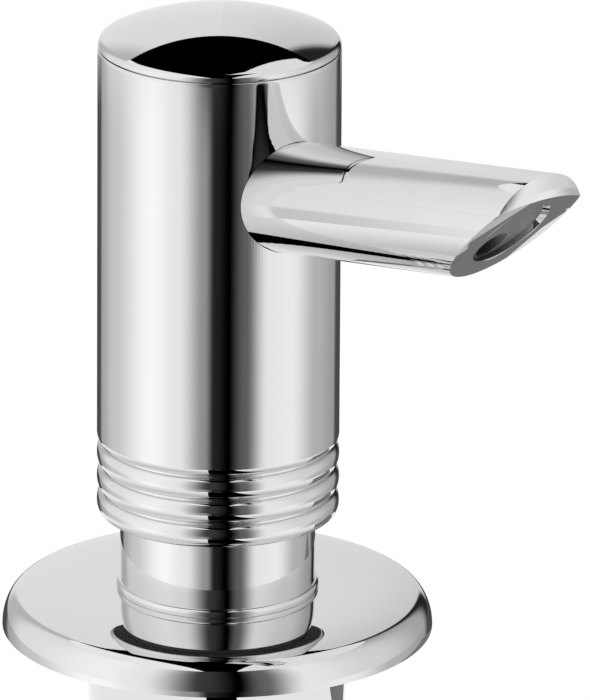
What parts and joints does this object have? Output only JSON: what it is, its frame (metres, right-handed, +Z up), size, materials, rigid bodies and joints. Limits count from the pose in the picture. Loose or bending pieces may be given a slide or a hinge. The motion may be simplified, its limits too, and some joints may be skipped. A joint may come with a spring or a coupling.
{
  "type": "built-in soap dispenser",
  "caption": "Deck-mounted soap dispenser: a chromed pump head with a rising spout on a crowned flange, with its pump, clamp parts and bottle below the deck.",
  "frame": {"origin": "on the pump head's axis, at the top of the deck that the flange's gasket stands on", "axes": "+Z up along the pump head's axis, +X the way the spout points at rest"},
  "size_m": [0.1012, 0.066, 0.2624],
  "materials": {
    "chrome": "polished",
    "grey_plastic": "satin",
    "white_plastic": "satin",
    "bottle_plastic": "milky",
    "rubber": "matt",
    "brass": "machined",
    "steel": "bright"
  },
  "bodies": {
    "base": {"escutcheon": "chrome", "deck_gasket": "rubber", "threaded_shank": "brass", "rubber_washer": "rubber", "steel_washer": "steel", "mounting_nut": "brass", "bottle": "bottle_plastic", "bottle_seal": "rubber", "collar_seal": "rubber"},
    "pump_unit": {"pump_collar": "grey_plastic", "neck_skirt": "chrome", "pump_cylinder": "white_plastic", "cylinder_cap": "grey_plastic", "ball_cage": "white_plastic", "return_spring": "steel", "dip_tube": "white_plastic"},
    "inlet_valve": {"inlet_ball": "steel"},
    "plunger": {"piston_stem": "white_plastic", "piston": "grey_plastic", "piston_ring": "rubber"},
    "outlet_valve": {"outlet_ball": "steel"},
    "head": {"head_sleeve": "chrome", "dome_cap": "chrome", "flow_core": "white_plastic", "core_seal": "rubber", "spout": "chrome", "spout_seal": "rubber", "outlet_liner": "grey_plastic"}
  },
  "joints": [
    {"name": "refill_lift", "type": "slide", "parent": "base", "child": "pump_unit", "axis": [0, 0, 1], "range_m": [0, 0.18]},
    {"name": "press", "type": "slide", "parent": "pump_unit", "child": "plunger", "axis": [0, 0, -1], "range_m": [0, 0.0065], "stiffness_N_per_m": 400, "springref_m": -0.012, "deforming": ["return_spring"]},
    {"name": "swivel", "type": "hinge", "parent": "plunger", "child": "head", "pos_m": [0, 0, 0], "axis": [0, 0, 1], "continuous": true},
    {"name": "inlet_lift", "type": "slide", "parent": "pump_unit", "child": "inlet_valve", "axis": [0, 0, 1], "range_m": [0, 0.0012]},
    {"name": "outlet_lift", "type": "slide", "parent": "plunger", "child": "outlet_valve", "axis": [0, 0, 1], "range_m": [0, 0.0012]}
  ]
}
